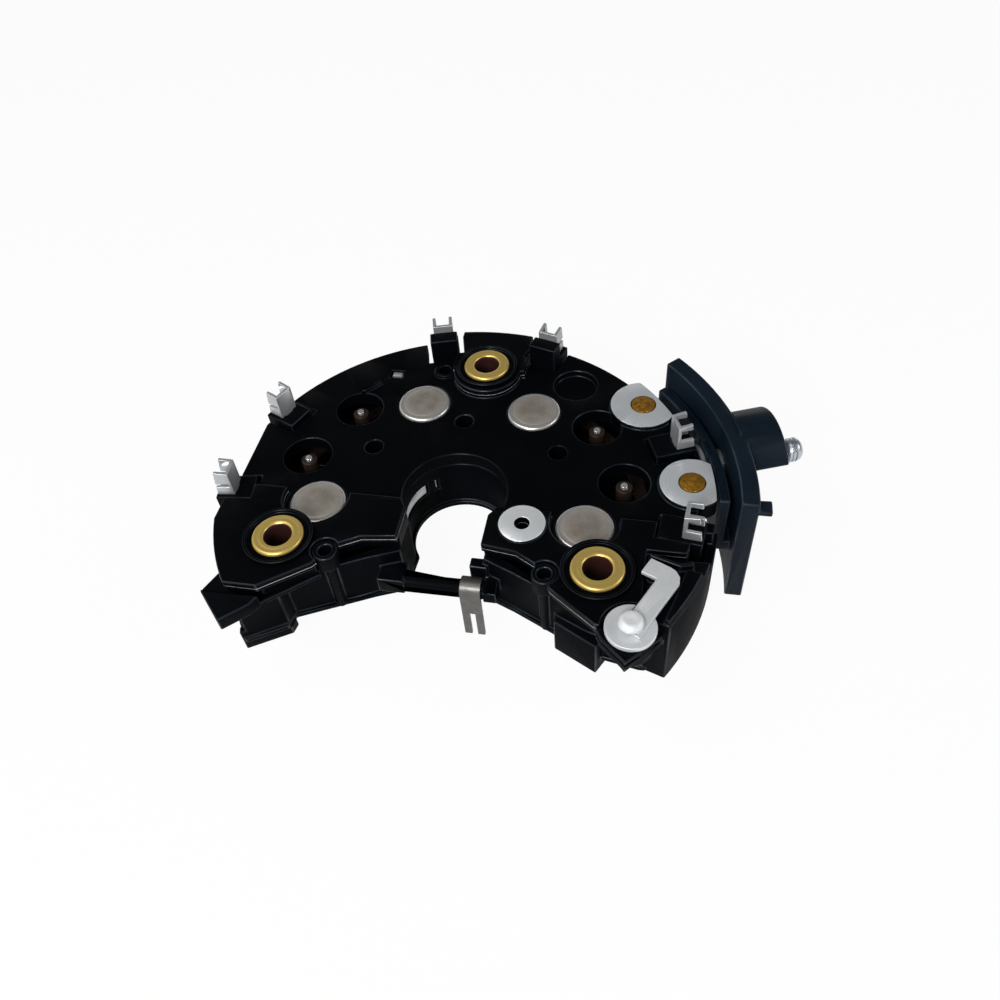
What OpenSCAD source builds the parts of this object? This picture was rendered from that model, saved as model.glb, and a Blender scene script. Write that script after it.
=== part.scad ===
// Crescent rectifier of a compact vehicle alternator.
// Origin: on the alternator axis, in the plane of the end shield. +Z points away from the shield.
// The mouth of the crescent opens towards -Y and the battery stud points to the +X side.

/* [Mounting] */
// Radius of the circle through the three mounting rivets
mount_r = 40; // [39.5:0.5:41]
// Bore of a hollow rivet, clear for the mounting screw
rivet_bore = 5.8; // [5.3:0.1:6.2]
// Outer diameter of a rivet's flange
rivet_flange_d = 11.4; // [11:0.1:12]
// Height of the rivet flanges above the end shield
stack_h = 22; // [21.5:0.5:24]

/* [Crescent] */
// Radius of the central opening
bore_r = 12; // [11:0.5:12.5]
// Half width of the mouth of the crescent
mouth_x = 9.35; // [8.5:0.25:10]
// Outer radius of the crescent
outer_r = 54; // [53:0.5:54.5]
// Distance of the flat side from the axis
flat_x = 51.5; // [51:0.5:52]
// Radius of the ends of the arms
end_r = 59; // [58.5:0.25:59.5]

/* [Layers] */
// Thickness of the negative heat sink
negative_t = 5; // [4:0.5:5.5]
// Thickness of the moulded floor
floor_t = 4; // [3:0.5:4.5]
// Height of the top face of the positive heat sink
plate_top = 18; // [17.5:0.25:18.5]
// Thickness of the positive heat sink
plate_t = 3.5; // [3:0.5:4]
// Wall thickness of the moulding
wall = 2; // [1.6:0.2:2.4]

/* [Diodes] */
// Diameter of a press-fit diode
diode_d = 12.9; // [12.6:0.1:13]
// Height of a diode's base
diode_h = 5.5; // [5:0.1:5.8]
// Diameter of a diode's head wire
wire_d = 1.6; // [1.2:0.1:2]
// How far the positive diodes stand above the plate
diode_proud = 0.6; // [0.4:0.1:0.9]
// Radius of a well over a negative diode
well_r = 5.8; // [5.4:0.1:6]

/* [Stator clips] */
// Width of a clip across its legs
clip_w = 5; // [4.6:0.1:5.4]
// Depth of a clip's legs
clip_depth = 4.2; // [3.8:0.1:4.6]
// Sheet thickness of the clips
clip_t = 0.8; // [0.6:0.1:1]
// Radius of the back of the clips
clip_r = 50.3; // [50:0.1:50.8]
// Height of the tips of the legs
clip_top = 26.5; // [26:0.25:28]

/* [Battery terminal] */
// Direction of the stud
stud_angle = 21; // [20.5:0.25:21.5]
// Height of the stud's axis
stud_z = 11; // [10.5:0.25:11.5]
// Diameter of the stud
stud_d = 6; // [5.5:0.5:6.5]
// Radius of the stud's tip
stud_tip_r = 83; // [82:0.5:84]
// Outer radius of the hood
hood_r = 11.5; // [11:0.25:12]
// Length of the hood
hood_l = 8.5; // [7.5:0.5:9]
// Inner radius of the closing wall
shield_r = 63; // [62.5:0.5:64]
// Thickness of the closing wall
shield_t = 4; // [3.5:0.25:4.5]
// How far the closing wall hangs below the mounting plane
shield_drop = 11; // [10:0.5:12]

/* [Hidden] */
$fn = 64;
// Overlap of a cutting shape past the face that it cuts
cut = 1;
// Clearance between neighbouring pieces that do not bear on each other
gap = 0.3;
// Clearance round a shank, wire or tail in its hole
fit = 0.05;
// Size past every outline
far = 120;

// Heights of the layers
floor_top = negative_t + floor_t;
plate_z = plate_top - plate_t;
skirt_z = 0.5;
skirt_flange = 0.8;
skirt_flange_h = 1.4;
flange_t = 1;
collar_t = 0.6;
collar_rim_h = 0.7;
seat_top = stack_h - flange_t - collar_t;
pad_top = plate_top + 1;
boss_top = seat_top + 0.4;
conductor_t = 1;
conductor_top = floor_top + conductor_t;
wire_top = plate_top - 0.8;
foot_drop = 2.5;
left_foot_h = 6.5;
right_foot_h = 10.5;
end_lap = 0.5;
end_t = 1.2;
left_pad_t = 3;

// Mounting rivets, with the bushes that insulate them
mount_angles = [90, 210, 330];
rivet_wall = 0.9;
rivet_tube_r = rivet_bore / 2 + rivet_wall;
rivet_foot_r = rivet_tube_r + 1.2;
rivet_foot_t = 1;
rivet_edge = 0.3;
rivet_funnel = 0.5;
bush_sleeve_r = rivet_tube_r + 1.2;
bush_collar_r = 7.7;
bush_rim = 0.7;
bush_z = negative_t - 0.5;
rivet_places = [for (a = mount_angles) polar(mount_r, a)];

// Diodes: four base up in the positive heat sink, four base down in the negative one
positive_r = 31.25;
positive_angles = [192.8, 116.2, 63.8, -12.8];
positive_places = [for (a = positive_angles) polar(positive_r, a)];
negative_r = 38.4;
negative_angles = [169, 140.5, 39.5, 11];
negative_places = [for (a = negative_angles) polar(negative_r, a)];
diode_head_h = 2.5;
diode_head_r = 4;
diode_face_r = 4.8;
diode_step = 0.15;
diode_rim = 0.4;
diode_relief_r = diode_d / 2 + 1.2;
diode_hole_r = 5;

// Machined contact pads with their rivets, and the faced boss
pad_at = [[39.9, 32.5], [52.6, 8.3]];
pad_r = [8, 7.4];
pad_edge_r = [55.8, 58.4];
contact_rivet_r = 2.85;
contact_head_r = 3.8;
contact_head_t = 0.8;
contact_proud = 0.15;
boss_at = [17.2, -9.4];
boss_r = 5.2;
boss_hole_r = 1.6;

// Cast details of the positive heat sink
pocket_at = [22.7, 38.8];
pocket_r = 5.4;
pocket_depth = 1.8;
hole_places = [[-2.6, 23], [21.5, 15], [-22.5, 12]];
hole_r = 2.2;
nipple_at = [-11.3, 40.4];
nipple_h = 0.8;
screw_at = [23.8, -21.5];
screw_r = 2.7;
screw_column_r = 1.3;
screw_z = 15.5;
screw_top = seat_top - 0.4;
screw_web = 0.9;
screw_hole_r = 1.5;
window_at = [-23.6, 38.3];
window_size = [3.4, 2.6];
rib_ends = [[-34, 26], [-26.8, 34.2]];
rib_w = 1;
rib_h = 0.9;
arm_y = -5;
seat_x = [-8.9, 9.6];
seat_edge = 0.8;
seat_lap = 1.8;
seat_r = 8.5;

// Terminal clips: the two on the stud's side stand further out, the two on top have tall towers
clip_angles = [186.5, 156.9, 104.9, 73.4, 22.5, -6.5];
clip_backs = [clip_r, clip_r, clip_r, clip_r, clip_r + 1.4, clip_r + 1.4];
tower_tops = [18.4, 18.4, 24.2, 24.2, 18.4, 18.4];
ledge_z = [14, 14, 14, 14, 16.3, 14];
clip_low = 19.5;
clip_taper = 0.9;
clip_rise = 0.5;
clip_slot_z = clip_low + 2.4;
clip_slot_h = [0.9, 0.9, 0.9, 0.9, 3, 3];
tail_w = 2.2;
tail_z = clip_low - 2.7;
tower_w = 7;
tower_root = 3.8;
tower_in_r = min(clip_r, outer_r - wall) - tower_root;
tail_r = tower_in_r + 1.2;
notches = [[0, -1], [1, -1], [2, -1], [2, 1], [3, 1]];
notch_w = 3;
notch_gap = 1.3;

// Flat links between the clips and the diodes
link_w = 3;
link_gap = 2;
link_r = [tower_in_r - link_gap - link_w, tower_in_r - link_gap];
link_middle = (link_r[0] + link_r[1]) / 2;
link_inner_r = [32, 34.6];
link_end = 4;
detour_angle = 13.5;
detour_w = 3;
link_pad_r = 2.4;
eyelet_r = 1.9;
eyelet_top = wire_top - 0.6;

// Collar of the negative heat sink, seen through windows in the wall of the opening
collar_r = [bore_r + wall + 2 * gap, bore_r + wall + 2 * gap + 1.8];
collar_angles = [122, 190];
collar_top = 11.6;
bore_windows = [[126, 131], [140, 188]];
bore_window_z = 7.5;
bore_window_h = 3.3;
window_gap = 1.5;

// Battery terminal
lug_in_r = 52.4;
lug_out_r = 57.4;
lug_angles = [14, 32];
lug_z = [5.5, 16];
lug_gap_angles = [3, 45];
stud_shank_r = stud_d / 2 + 0.5;
stud_collar_r = 5.5;
stud_collar_t = 1.2;
inner_wall_r = 59;
inner_wall_t = 2.5;
shield_angles = [0.5, 45];
shield_clear = 2;
inner_wall_angles = [5, 43];
inner_wall_top = 17;
web_t = 3;
ear_end = 3.5;
ear_l = 2.8;
ear_z = 18.5;
ear_t = 1.3;
hood_t = 2.5;
hood_angles = [37, 143];

// Regulator strap on the end of the right arm
strap_t = 1;
strap_z = 21;
washer_at = [42.5, -32.6];
washer_r = 5.2;
washer_t = 1.2;
washer_clear_r = washer_r + 0.8;
strap_head_r = 2.6;
strap_head_h = 1.6;
strap_shank_r = 1.6;
strap_outline = [
    [45.2, -16.2], [43.4, -19.9], [46.6, -21.3], [40.4, -33.4],
    [44.4, -35.6], [51.2, -22], [51.2, -20.3], [50.4, -18.9], [49.3, -18.1]
];
strap_peg_at = [46.2, -19.3];
strap_peg_r = 1.6;
strap_pad_z = strap_z - washer_t;
strap_pad_t = 1.2;
strap_lip_drop = 3.4;
end_guard_top = strap_z;
end_rim_top = strap_z + 0.4;
end_wall_t = 2;
end_web_t = 3;
end_margin = 0.1;
end_wall_angles = [-22, -2];
end_rib_angle = 3;
end_rib_top = plate_top;

// Cross bar and its forked terminal
bar_w = 3.4;
bar_y = -19.5;
bar_z = 7.4;
bar_ends = [-12, 10];
bar_block = [6, 5.5, 4.4];
bar_lap = 2;
stub_x = 6.3;
stub_size = [4, 2.6, 5.6];
fork_x = 4.8;
fork_w = 4.7;
fork_t = 0.8;
fork_low = -5.5;
fork_slot_w = 1.3;
fork_slot_l = 8;

// Front edges from the mouth outwards, drawn for the right arm
seat_front = [[mouth_x, -16], [17, -17], [22, -19.8], [25.5, -25.5], [35.5, -32.8], [44, -32.8]];
plate_front = [for (p = seat_front) p + [0, seat_lap]];
left_front = [[mouth_x, -15.5], [16, -18.2], [33, -26.4], [33.6, -29.4], [43, -35]];
right_front = [[mouth_x, -15.5], [16, -18.2], [33, -26.4], [37, -27.8], [44.5, -29.2]];
end_pad = [[25, -24], [35.5, -32.8], [36.9, -35.4], [42.1, -40.2], [50.2, -31.9], [47, -24], [30, -20]];
left_foot = [[33.2, -26.9], [33.6, -29.4], [43, -35], [43.6, -33.3], [34.4, -27.7]];
right_foot = [[26, -22], [26, -25.2], [35.6, -30.2], [37.6, -26.4]];
end_pad_low = [[27, -22.6], [36.3, -31.2], [42, -38.6], [49, -30.6], [46, -24], [31, -20.8]];
end_block_x = strap_peg_at[0] - strap_peg_r - end_margin;
end_block_y = -14.2;
end_block = [
    [end_block_x, end_block_y], [end_r + cut, end_block_y], [end_r + cut, -28],
    [51.4, -31.6], [end_block_x, -29.2]
];
end_guard = [[52.5, -17.3], [end_r, -18.4], [51.4, -31.6], [48.9, -30.2]];
end_rim = [[44.8, -14.4], [51.2, -16.4], [53.8, -15.6], [53.8, -16.5], [51.2, -17.3], [44.9, -15.3]];
end_block_clear_y = -13;

// Point at a radius and an angle
function polar(r, a) = [r * cos(a), r * sin(a)];

// Points in the opposite order
function reversed(p) = [for (i = [len(p) - 1:-1:0]) p[i]];

// Wedge from the axis between two angles
module wedge(a0, a1) {
    polygon([[0, 0], polar(far, a0), polar(far, (a0 + a1) / 2), polar(far, a1)]);
}

// Outline of part of a ring between two angles
module ring_outline(r0, r1, a0, a1) {
    intersection() {
        difference() {
            circle(r = r1, $fn = 128);
            circle(r = r0, $fn = 128);
        }
        wedge(a0, a1);
    }
}

// Part of a ring between two angles
module ring_part(r0, r1, a0, a1, z, h) {
    translate([0, 0, z]) linear_extrude(h) ring_outline(r0, r1, a0, a1);
}

// Upright holes or posts at a list of places
module posts(places, r, z, h) {
    for (p = places) translate([p[0], p[1], z]) cylinder(h = h, r = r);
}

// Children with X along the stud, at the height of its axis
module along_stud(r) {
    rotate(stud_angle) translate([r, 0, stud_z]) rotate([0, 90, 0]) children();
}

// Right half of a crescent that ends at a front edge, drawn in by d
module half_outline(front, d = 0) {
    last = front[len(front) - 1] + [0, d];
    edge = [for (p = reversed(front)) p + [0, d]];
    inner_x = mouth_x + d;
    trimmed = [for (p = edge) [max(p[0], inner_x), p[1]]];
    polygon(concat([[0, 0], [0, far], [far, far], [far, last[1]]], trimmed, [[inner_x, 0]]));
}

// Crescent inside an outer circle, drawn in by d
module crescent(left, right, d = 0) {
    difference() {
        intersection() {
            circle(r = outer_r - d, $fn = 128);
            union() {
                half_outline(right, d);
                mirror([1, 0]) half_outline(left, d);
            }
            translate([d - flat_x, -far]) square(2 * far);
        }
        circle(r = bore_r + d);
    }
}

// Ground kept clear for the closing wall
module shield_clearance() {
    ring_outline(inner_wall_r - gap, far, shield_angles[0] - shield_clear, shield_angles[1] + shield_clear);
}

// Place of a notch, given as the number of its tower and the tower's side
module beside_tower(notch, r) {
    rotate(clip_angles[notch[0]]) translate([r, notch[1] * tower_w / 2, 0])
        mirror([0, notch[1] < 0 ? 1 : 0, 0]) children();
}

// Clearance round the towers and in front of the end block
module plate_cuts() {
    for (a = clip_angles) {
        rotate(a) translate([tower_in_r - gap, -tower_w / 2 - 2 * gap]) square([far, tower_w + 4 * gap]);
    }
    for (notch = notches) beside_tower(notch, tower_in_r - gap) square([far, notch_gap]);
    shield_clearance();
    translate([end_block[0][0] - gap, -far]) square([far, far + end_block_clear_y]);
    for (s = [-1, 1]) translate([s * screw_at[0], screw_at[1]]) circle(r = screw_r + gap);
    translate(washer_at) circle(r = washer_clear_r);
}

// Raised ends of the arms and raised seat of the top rivet
module seat_outline() {
    difference() {
        union() {
            difference() {
                crescent(seat_front, seat_front);
                translate([-far, arm_y]) square(2 * far);
            }
            intersection() {
                circle(r = outer_r + seat_edge, $fn = 128);
                union() {
                    translate([seat_x[0], mount_r]) square([seat_x[1] - seat_x[0], far]);
                    translate(rivet_places[0]) circle(r = seat_r);
                }
            }
        }
        plate_cuts();
    }
}

// Flat end of an arm, outside the edge of the seat
module arm_end(outline) {
    difference() {
        intersection() {
            polygon(outline);
            circle(r = end_r);
        }
        half_outline(seat_front, -gap);
    }
}

// Contact pad, cut off by the outer edge
module contact_pad(i) {
    translate([0, 0, plate_z]) linear_extrude(pad_top - plate_z) intersection() {
        translate(pad_at[i]) circle(r = pad_r[i]);
        circle(r = pad_edge_r[i], $fn = 128);
    }
}

module positive_heat_sink() {
    color("#17191c") difference() {
        union() {
            difference() {
                union() {
                    translate([0, 0, plate_z]) linear_extrude(plate_t) difference() {
                        crescent(plate_front, plate_front);
                        plate_cuts();
                    }
                    translate([0, 0, plate_top]) linear_extrude(seat_top - plate_top) seat_outline();
                    posts([boss_at], boss_r, plate_top, boss_top - plate_top);
                    posts([nipple_at], screw_r, plate_top, nipple_h);
                    cast_rib();
                }
                posts(negative_places, well_r, plate_z - cut, far);
                posts(positive_places, diode_relief_r, plate_top, far);
                posts(hole_places, hole_r, plate_z - cut, far);
                posts([pocket_at], pocket_r, plate_top - pocket_depth, far);
                posts([nipple_at], screw_hole_r, plate_z - cut, far);
                translate([window_at[0], window_at[1], plate_z - cut]) linear_extrude(far)
                    square(window_size, center = true);
            }
            for (i = [0, 1]) contact_pad(i);
            ring_part(lug_in_r, lug_out_r, lug_angles[0], lug_angles[1], lug_z[0], lug_z[1] - lug_z[0]);
        }
        posts(positive_places, diode_d / 2 + fit, plate_z - cut, far);
        posts(rivet_places, bush_sleeve_r + fit, plate_z - cut, far);
        posts([boss_at], boss_hole_r, plate_z - cut, far);
        posts(negative_places, eyelet_r + gap, plate_z - cut, far);
        posts(pad_at, contact_rivet_r + fit, plate_z - cut, far);
        along_stud(0) cylinder(h = far, r = stud_shank_r + fit);
    }
}

// Straight rib beside the upper left well
module cast_rib() {
    run = rib_ends[1] - rib_ends[0];
    translate([rib_ends[0][0], rib_ends[0][1], plate_top]) rotate(atan2(run[1], run[0]))
        translate([0, -rib_w / 2, 0]) cube([norm(run), rib_w, rib_h]);
}

// Tower behind a clip, with the ledge that the clip stands on
module tower(i) {
    back = clip_backs[i];
    rotate(clip_angles[i]) {
        translate([tower_in_r, -tower_w / 2, floor_top - cut])
            cube([min(back, lug_in_r - gap) - tower_in_r, tower_w, tower_tops[i] + cut - floor_top]);
        translate([tower_in_r, -tower_w / 2, ledge_z[i]])
            cube([back + clip_depth + gap - tower_in_r, tower_w, clip_low - ledge_z[i]]);
    }
}

// Shape of a clip's tail inside the moulding, grown by a clearance
module clip_tail(i, grow = 0) {
    back = clip_backs[i];
    w = tail_w + 2 * grow;
    run = back - tail_r;
    rotate(clip_angles[i]) {
        translate([back - grow, -w / 2, tail_z - grow])
            cube([clip_t + 2 * grow, w, clip_low + clip_t - tail_z]);
        translate([tail_r - grow, -w / 2, tail_z - grow])
            cube([run + clip_t + 2 * grow, w, clip_t + 2 * grow]);
        translate([tail_r - grow, -w / 2, conductor_top])
            cube([clip_t + 2 * grow, w, tail_z - conductor_top]);
    }
}

// Ring boss for a screw, on a slim column in front of the wall
module screw_post() {
    posts([screw_at], screw_r, screw_z, screw_top - screw_z);
    posts([screw_at], screw_column_r, skirt_z, screw_z + cut - skirt_z);
    translate([screw_at[0] - screw_column_r, screw_at[1], skirt_z])
        cube([2 * screw_column_r, screw_web, plate_z - skirt_z]);
}

// Cross bar with a round top, from the left arm to a stub on the right arm
module cross_bar() {
    r = bar_w / 2;
    translate([bar_ends[0], bar_y, bar_z]) rotate([90, 0, 90]) linear_extrude(bar_ends[1] - bar_ends[0]) {
        translate([-r, 0]) square([bar_w, r]);
        translate([0, r]) circle(r = r);
    }
    translate([bar_ends[0] - bar_lap, bar_y - r, bar_z - cut]) cube(bar_block);
    translate([fork_x + fork_w + gap, bar_y - r, bar_z - cut]) cube([bar_block[0] / 2, bar_block[1], bar_w]);
    translate([stub_x, bar_y + r + fork_t + gap, bar_z]) cube(stub_size);
}

// Floor with its skirt and the flange at the skirt's foot
module moulded_shell() {
    translate([0, 0, negative_t]) linear_extrude(floor_t) crescent(left_front, right_front);
    translate([0, 0, skirt_z]) linear_extrude(plate_z - skirt_z) difference() {
        crescent(left_front, right_front);
        crescent(left_front, right_front, wall);
    }
    translate([0, 0, skirt_z]) linear_extrude(skirt_flange_h) difference() {
        crescent(left_front, right_front, -skirt_flange);
        crescent(left_front, right_front, wall);
    }
}

module wiring_plate() {
    color("#131417") difference() {
        union() {
            difference() {
                moulded_shell();
                ring_part(min(outer_r - wall, lug_in_r) - gap, far, lug_gap_angles[0], lug_gap_angles[1],
                    min(lug_z[0] - gap, negative_t), far);
                translate([0, 0, floor_top]) for (notch = notches) {
                    beside_tower(notch, tower_in_r) cube([far, notch_w, plate_z]);
                }
            }
            for (i = [0:len(clip_angles) - 1]) tower(i);
            mirror([1, 0, 0]) {
                translate([0, 0, plate_z - end_t]) linear_extrude(end_t) intersection() {
                    polygon(end_pad);
                    circle(r = end_r);
                }
                translate([0, 0, plate_z - end_lap]) linear_extrude(left_pad_t) arm_end(end_pad);
            }
            mirror([1, 0, 0]) translate([0, 0, -foot_drop]) linear_extrude(left_foot_h) polygon(left_foot);
            translate([0, 0, -foot_drop]) linear_extrude(right_foot_h) polygon(right_foot);
            end_of_right_arm();
            for (s = [0, 1]) mirror([s, 0, 0]) screw_post();
            cross_bar();
        }
        linear_extrude(far) shield_clearance();
        ring_part(bore_r + wall - fit, collar_r[1] + gap, collar_angles[0] - 2, collar_angles[1] + 2,
            0, collar_top + gap);
        for (a = bore_windows) {
            ring_part(bore_r - cut, bore_r + wall + cut, a[0], a[1], bore_window_z, bore_window_h);
        }
        posts(rivet_places, bush_sleeve_r + fit, -cut, far);
        posts(negative_places, diode_hole_r, -cut, far);
        posts(negative_places, diode_d / 2 + fit, -cut, diode_h + cut);
        for (s = [0, 1]) mirror([s, 0, 0]) posts([screw_at], screw_hole_r, screw_z + 1, far);
        for (i = [0:len(clip_angles) - 1]) clip_tail(i, fit);
        translate([0, 0, floor_top]) linear_extrude(conductor_t + fit)
            for (i = [0:len(clip_angles) - 1]) link_tab(i, fit);
        posts([washer_at], strap_shank_r + fit, -cut, far);
    }
}

// Block and stepped pad that carry the regulator strap
module end_of_right_arm() {
    translate([0, 0, skirt_z]) linear_extrude(strap_pad_z - skirt_z) intersection() {
        circle(r = end_r);
        polygon(end_block);
    }
    translate([0, 0, strap_pad_z - cut]) linear_extrude(end_guard_top + cut - strap_pad_z) intersection() {
        circle(r = end_r - end_lap);
        polygon(end_guard);
    }
    translate([0, 0, strap_pad_z - cut]) linear_extrude(end_rim_top + cut - strap_pad_z) polygon(end_rim);
    ring_part(end_r - end_wall_t, end_r, end_wall_angles[0], end_wall_angles[1], skirt_z, plate_z - skirt_z);
    ring_part(outer_r - cut, end_r - cut, end_wall_angles[0], end_wall_angles[1], skirt_z, end_web_t);
    ring_part(outer_r + gap, end_r - cut, end_wall_angles[1] - end_rib_angle, end_wall_angles[1] - end_margin,
        skirt_z, end_rib_top - skirt_z);
    translate([0, 0, plate_z - end_t]) linear_extrude(end_t) polygon(end_pad_low);
    translate([0, 0, plate_z - end_lap]) linear_extrude(strap_pad_z - plate_z) arm_end(end_pad_low);
    for (z = [strap_pad_z - strap_pad_t, strap_pad_z - strap_lip_drop]) {
        translate([0, 0, z]) linear_extrude(strap_pad_t) arm_end(end_pad);
    }
    posts([washer_at], washer_r - gap, plate_z - end_lap, strap_pad_z + end_lap - plate_z);
    posts([strap_peg_at], strap_peg_r, strap_pad_z - cut, washer_t + cut);
}

module negative_heat_sink() {
    color("#b9bcc0") difference() {
        union() {
            linear_extrude(negative_t) difference() {
                crescent(left_front, right_front, wall + gap);
                translate([end_block[0][0] - gap, -far]) square([far, far + end_block_clear_y]);
            }
            ring_part(collar_r[0], collar_r[1], collar_angles[0], collar_angles[1], 0, collar_top);
            for (a = bore_windows) {
                ring_part(bore_r + gap, collar_r[0] + cut, a[0] + window_gap, a[1] - window_gap,
                    bore_window_z + gap, bore_window_h - 2 * gap);
            }
        }
        posts(rivet_places, rivet_tube_r + fit, -cut, far);
        posts(rivet_places, rivet_foot_r + fit, -cut, rivet_foot_t + cut);
        posts(negative_places, diode_d / 2 + fit, -cut, far);
        posts(rivet_places, bush_sleeve_r + fit, bush_z, far);
    }
}

// Hollow rivet turned from one section: funnel mouth, top flange, tube and rolled foot
module hollow_rivet(i) {
    bore = rivet_bore / 2;
    edge = rivet_flange_d / 2;
    under = stack_h - flange_t;
    color("#b8923c") translate(rivet_places[i]) rotate_extrude() polygon([
        [bore, 0], [rivet_foot_r - rivet_edge, 0], [rivet_foot_r, rivet_edge], [rivet_foot_r, rivet_foot_t],
        [rivet_tube_r, rivet_foot_t], [rivet_tube_r, under], [edge - rivet_edge, under],
        [edge, under + rivet_edge], [edge, stack_h - rivet_edge], [edge - rivet_edge, stack_h],
        [bore + rivet_funnel, stack_h], [bore, stack_h - 2 * rivet_funnel]
    ]);
}

module hollow_rivet_top() {
    hollow_rivet(0);
}

module hollow_rivet_left() {
    hollow_rivet(1);
}

module hollow_rivet_right() {
    hollow_rivet(2);
}

// Insulating bush: sleeve, collar under the flange and a thin rim round it
module rivet_bush(i) {
    color("#101113") translate(rivet_places[i]) difference() {
        union() {
            translate([0, 0, bush_z]) cylinder(h = seat_top - bush_z, r = bush_sleeve_r);
            translate([0, 0, seat_top]) cylinder(h = collar_t + collar_rim_h, r = bush_collar_r);
        }
        translate([0, 0, seat_top + collar_t]) cylinder(h = far, r = bush_collar_r - bush_rim);
        translate([0, 0, -cut]) cylinder(h = far, r = rivet_tube_r + fit);
    }
}

module rivet_bush_top() {
    rivet_bush(0);
}

module rivet_bush_left() {
    rivet_bush(1);
}

module rivet_bush_right() {
    rivet_bush(2);
}

// Diode turned from one section along +Z: stepped base face, rim, pressed wall, head and wire
module diode(wire_l) {
    r = diode_d / 2;
    head_top = diode_h + diode_head_h;
    rotate_extrude() polygon([
        [0, 0], [diode_face_r, 0], [diode_face_r + diode_step, diode_step], [r - diode_rim, diode_step],
        [r, diode_step + diode_rim], [r, diode_h], [diode_head_r, diode_h], [wire_d, head_top],
        [wire_d / 2, head_top], [wire_d / 2, diode_h + wire_l], [0, diode_h + wire_l]
    ]);
}

module positive_diode(i) {
    top = plate_top + diode_proud;
    color("#a9a59d") translate(positive_places[i]) translate([0, 0, top]) mirror([0, 0, 1])
        diode(top - diode_h - conductor_top);
}

module positive_diode_1() {
    positive_diode(0);
}

module positive_diode_2() {
    positive_diode(1);
}

module positive_diode_3() {
    positive_diode(2);
}

module positive_diode_4() {
    positive_diode(3);
}

module negative_diode(i) {
    color("#a9a59d") translate(negative_places[i]) diode(wire_top - diode_h);
}

module negative_diode_1() {
    negative_diode(0);
}

module negative_diode_2() {
    negative_diode(1);
}

module negative_diode_3() {
    negative_diode(2);
}

module negative_diode_4() {
    negative_diode(3);
}

// Outline of a conductor's tab under the tail of a clip, grown by a clearance
module link_tab(i, grow = 0) {
    reach = tail_r + clip_t;
    rotate(clip_angles[i]) translate([link_middle, -link_w / 2 - grow])
        square([reach + grow - link_middle, link_w + 2 * grow]);
}

// Outline of a finger from a conductor's ring to a diode
module finger(r, a) {
    rotate(a) translate([min(r, link_middle), -link_w / 2]) square([abs(link_middle - r), link_w]);
    translate(polar(r, a)) circle(r = link_pad_r);
}

// Angles of the clips and the two diodes that a link joins
function link_stops(clips, diode) =
    concat([for (i = clips) clip_angles[i]], [positive_angles[diode], negative_angles[diode]]);

// Outline of a link: a ring part with tabs to the clips and fingers to its diodes
module link_outline(clips, diode) {
    stops = link_stops(clips, diode);
    ring_outline(link_r[0], link_r[1], min(stops) - link_end, max(stops) + link_end);
    for (i = clips) link_tab(i);
    finger(positive_r, positive_angles[diode]);
    finger(negative_r, negative_angles[diode]);
}

// Ground outside the way round the top rivet, kept clear for its bush
module rivet_detour() {
    half = detour_angle - detour_w;
    ring_outline(link_inner_r[1], far, mount_angles[0] - half, mount_angles[0] + half);
}

// Flat link with an eyelet on a diode's head wire
module conductor(diode) {
    eyelet = [negative_places[diode]];
    color("#c08a5a") difference() {
        union() {
            translate([0, 0, floor_top]) linear_extrude(conductor_t) children();
            posts(eyelet, eyelet_r, floor_top, eyelet_top - floor_top);
        }
        posts(eyelet, wire_d / 2 + fit, floor_top - cut, far);
    }
}

module phase_conductor_left() {
    conductor(0) link_outline([0, 1], 0);
}

module phase_conductor_top() {
    conductor(1) {
        difference() {
            union() {
                link_outline([2, 3], 1);
                ring_outline(link_inner_r[0], link_r[1], mount_angles[0] - detour_angle,
                    mount_angles[0] + detour_angle);
            }
            rivet_detour();
        }
    }
}

module phase_conductor_right() {
    conductor(3) link_outline([4, 5], 3);
}

module star_conductor() {
    conductor(2) link_outline([], 2);
}

// Folded clip: back, two tapered legs, a slot across the legs and a tail
module stator_clip(i) {
    back = clip_backs[i];
    tip = back + clip_depth;
    back_top = clip_top - clip_rise;
    leg = [[back, clip_low], [tip, clip_low], [tip - clip_taper, clip_top], [back, back_top]];
    color("#c9cac8") {
        rotate(clip_angles[i]) difference() {
            union() {
                translate([back, -clip_w / 2, clip_low]) cube([clip_t, clip_w, back_top - clip_low]);
                for (s = [-1, 1]) translate([0, s * (clip_w - clip_t) / 2, 0]) rotate([90, 0, 0])
                    linear_extrude(clip_t, center = true) polygon(leg);
            }
            translate([back + clip_t, -far, clip_slot_z]) cube([far, 2 * far, clip_slot_h[i]]);
        }
        clip_tail(i);
    }
}

module stator_clip_1() {
    stator_clip(0);
}

module stator_clip_2() {
    stator_clip(1);
}

module stator_clip_3() {
    stator_clip(2);
}

module stator_clip_4() {
    stator_clip(3);
}

module stator_clip_5() {
    stator_clip(4);
}

module stator_clip_6() {
    stator_clip(5);
}

module b_plus_stud() {
    color("#c4c8cc") {
        along_stud(lug_in_r) cylinder(h = shield_r + shield_t - lug_in_r, r = stud_shank_r);
        along_stud(shield_r) cylinder(h = stud_tip_r - shield_r, r = stud_d / 2);
        along_stud(lug_out_r) cylinder(h = stud_collar_t, r = stud_collar_r);
    }
}

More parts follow.
